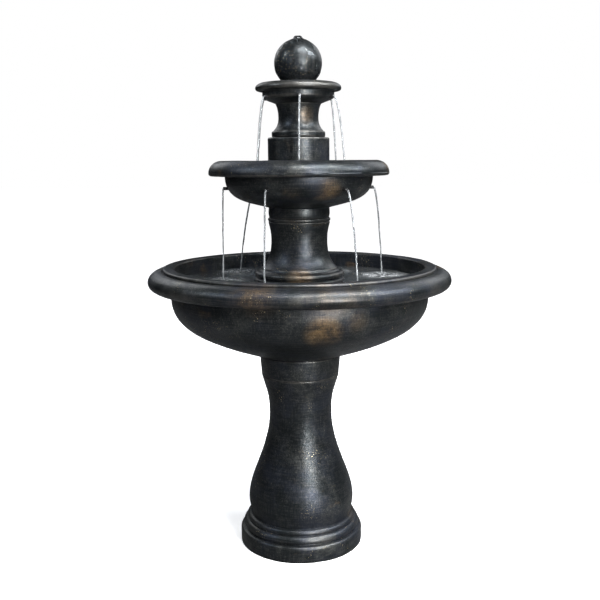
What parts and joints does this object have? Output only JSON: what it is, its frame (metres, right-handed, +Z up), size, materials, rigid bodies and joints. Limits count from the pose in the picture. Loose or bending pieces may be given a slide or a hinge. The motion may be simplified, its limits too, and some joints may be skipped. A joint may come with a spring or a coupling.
{
  "type": "tiered water fountain",
  "caption": "Free-standing garden water fountain: turned pedestal, round basin with rolled rim, two overhanging bowls with pouring spouts, ball on top and a hidden circulation pump.",
  "frame": {"origin": "on the ground, at the centre of the base pedestal's foot", "axes": "+Z up along the fountain's axis; -Y is the front; the cord notch is at the back, +Y"},
  "size_m": [0.754, 0.7538, 1.272],
  "materials": {
    "bronze_finish": "cast resin stone, near-black bronze patina, satin",
    "black_plastic": "moulded, fine texture",
    "magnet_plastic": "moulded",
    "soft_rubber": "matt",
    "clear_vinyl": "clear flexible vinyl",
    "stainless_steel": "rolled strip",
    "ceramic": "ground and polished",
    "water": "clear water"
  },
  "bodies": {
    "base": {"base_pedestal": "bronze_finish"},
    "basin": {"basin": "bronze_finish", "cord_grommet": "soft_rubber", "pump_housing": "black_plastic", "impeller_cover": "black_plastic", "cover_seal": "soft_rubber", "impeller_shaft": "ceramic", "shaft_bushes": "soft_rubber", "suction_cups": "soft_rubber", "pump_cable_gland": "soft_rubber", "lower_supply_tube": "clear_vinyl", "lower_hose_clamp": "stainless_steel"},
    "impeller": {"impeller": "magnet_plastic"},
    "strainer": {"intake_strainer": "black_plastic"},
    "flow_dial": {"flow_dial": "black_plastic"},
    "drain_plug": {"drain_plug": "soft_rubber"},
    "middle_tier": {"middle_pedestal": "bronze_finish", "middle_bowl": "bronze_finish", "middle_bulkhead": "black_plastic", "middle_nut": "black_plastic", "middle_washer": "soft_rubber", "middle_spouts": "black_plastic", "upper_supply_tube": "clear_vinyl", "upper_hose_clamp": "stainless_steel"},
    "top_tier": {"upper_collar": "bronze_finish", "upper_neck": "bronze_finish", "top_dish": "bronze_finish", "top_riser": "black_plastic", "top_nut": "black_plastic", "top_washer": "soft_rubber", "top_spouts": "black_plastic"},
    "finial": {"ball_finial": "bronze_finish", "finial_outlet": "black_plastic"}
  },
  "joints": [
    {"name": "basin_lift", "type": "slide", "parent": "base", "child": "basin", "axis": [0, 0, 1], "range_m": [0, 0.12]},
    {"name": "impeller_spin", "type": "hinge", "parent": "basin", "child": "impeller", "pos_m": [0, 0, 0.55], "axis": [1, 0, 0], "continuous": true},
    {"name": "strainer_pull", "type": "slide", "parent": "basin", "child": "strainer", "axis": [1, 0, 0], "range_m": [0, 0.022]},
    {"name": "flow_dial_turn", "type": "hinge", "parent": "strainer", "child": "flow_dial", "pos_m": [0.048, 0, 0.55], "axis": [1, 0, 0], "range_deg": [0, 90]},
    {"name": "drain_plug_lift", "type": "slide", "parent": "basin", "child": "drain_plug", "axis": [0, 0, 1], "range_m": [0, 0.05]},
    {"name": "middle_tier_lift", "type": "slide", "parent": "basin", "child": "middle_tier", "axis": [0, 0, 1], "range_m": [0, 0.36]},
    {"name": "top_tier_lift", "type": "slide", "parent": "middle_tier", "child": "top_tier", "axis": [0, 0, 1], "range_m": [0, 0.22]},
    {"name": "ball_lift", "type": "slide", "parent": "top_tier", "child": "finial", "axis": [0, 0, 1], "range_m": [0, 0.15]}
  ]
}
